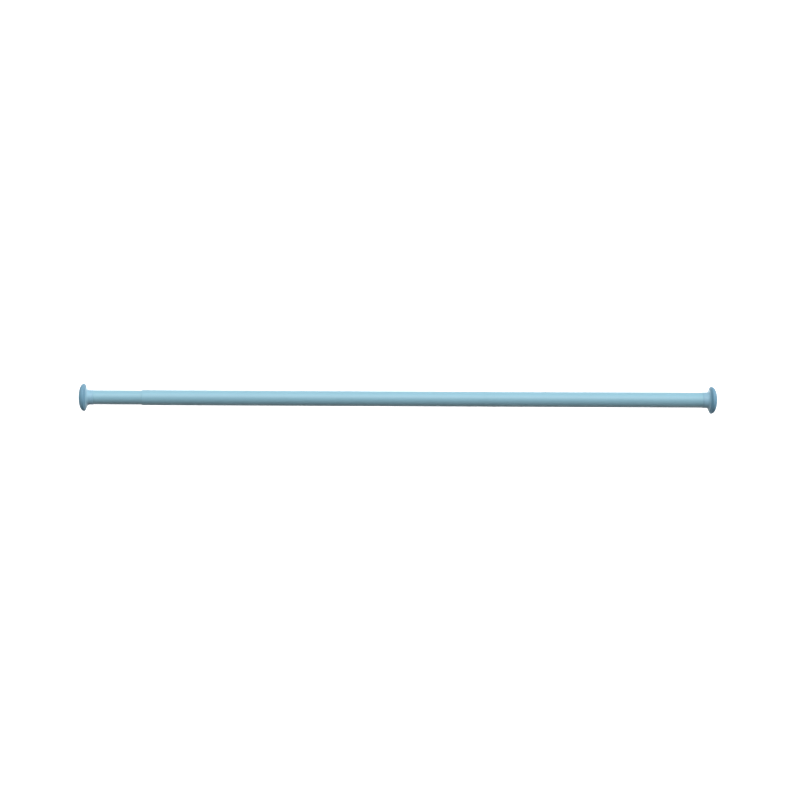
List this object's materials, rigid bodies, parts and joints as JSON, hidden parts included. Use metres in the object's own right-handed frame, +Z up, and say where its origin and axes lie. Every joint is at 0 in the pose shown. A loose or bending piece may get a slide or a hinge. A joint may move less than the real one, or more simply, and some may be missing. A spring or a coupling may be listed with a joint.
{
  "type": "extendable shower curtain rod",
  "caption": "Telescoping tension rod: thin tube sliding in a thick one, flared end caps with soft domed feet, and a spring and twist lock held inside.",
  "frame": {"origin": "middle of the rod's length at rest, on its axis", "axes": "+X along the rod from the thin tube's end to the thick tube's end, +Z up, +Y away from the viewer"},
  "size_m": [1.037, 0.0444, 0.0445],
  "materials": {
    "painted_tube": "satin powder coat",
    "cap_plastic": "moulded, semi-gloss",
    "foot_vinyl": "soft vinyl, matt",
    "natural_plastic": "moulded, natural",
    "black_plastic": "moulded, black",
    "zinc_steel": "bright zinc plate",
    "spring_wire": "oiled spring wire",
    "black_rubber": "moulded rubber"
  },
  "bodies": {
    "outer": {"outer_tube": "painted_tube", "outer_cap": "cap_plastic", "outer_foot": "foot_vinyl"},
    "expander": {"expander_sleeve": "natural_plastic", "drag_ring": "black_rubber"},
    "wedge": {"wedge_nut": "black_plastic"},
    "plunger": {"plunger": "natural_plastic", "lock_screw": "zinc_steel", "shaft_pin": "zinc_steel", "thrust_washer": "zinc_steel", "retaining_clip": "zinc_steel", "end_washer": "zinc_steel", "end_screw": "zinc_steel"},
    "inner": {"inner_tube": "painted_tube", "inner_cap": "cap_plastic", "inner_foot": "foot_vinyl", "end_bush": "natural_plastic", "spring_stop": "natural_plastic", "stop_pin": "zinc_steel", "tension_spring": "spring_wire"}
  },
  "joints": [
    {"name": "telescope", "type": "slide", "parent": "outer", "child": "expander", "axis": [-1, 0, 0], "range_m": [-0.035, 0.7595]},
    {"name": "twist", "type": "hinge", "parent": "expander", "child": "plunger", "pos_m": [0.3905, 0, 0], "axis": [1, 0, 0], "range_deg": [-540, 180]},
    {"name": "spring_travel", "type": "slide", "parent": "plunger", "child": "inner", "axis": [1, 0, 0], "range_m": [0, 0.04], "stiffness_N_per_m": 1780, "springref_m": -0.03, "deforming": ["tension_spring"]},
    {"name": "wedge_travel", "type": "slide", "parent": "expander", "child": "wedge", "axis": [-1, 0, 0], "range_m": [-0.0046, 0.0016]}
  ],
  "couplings": [
    {"joint": "wedge_travel", "follows": "twist", "m_per_rad": 0.00047746}
  ]
}
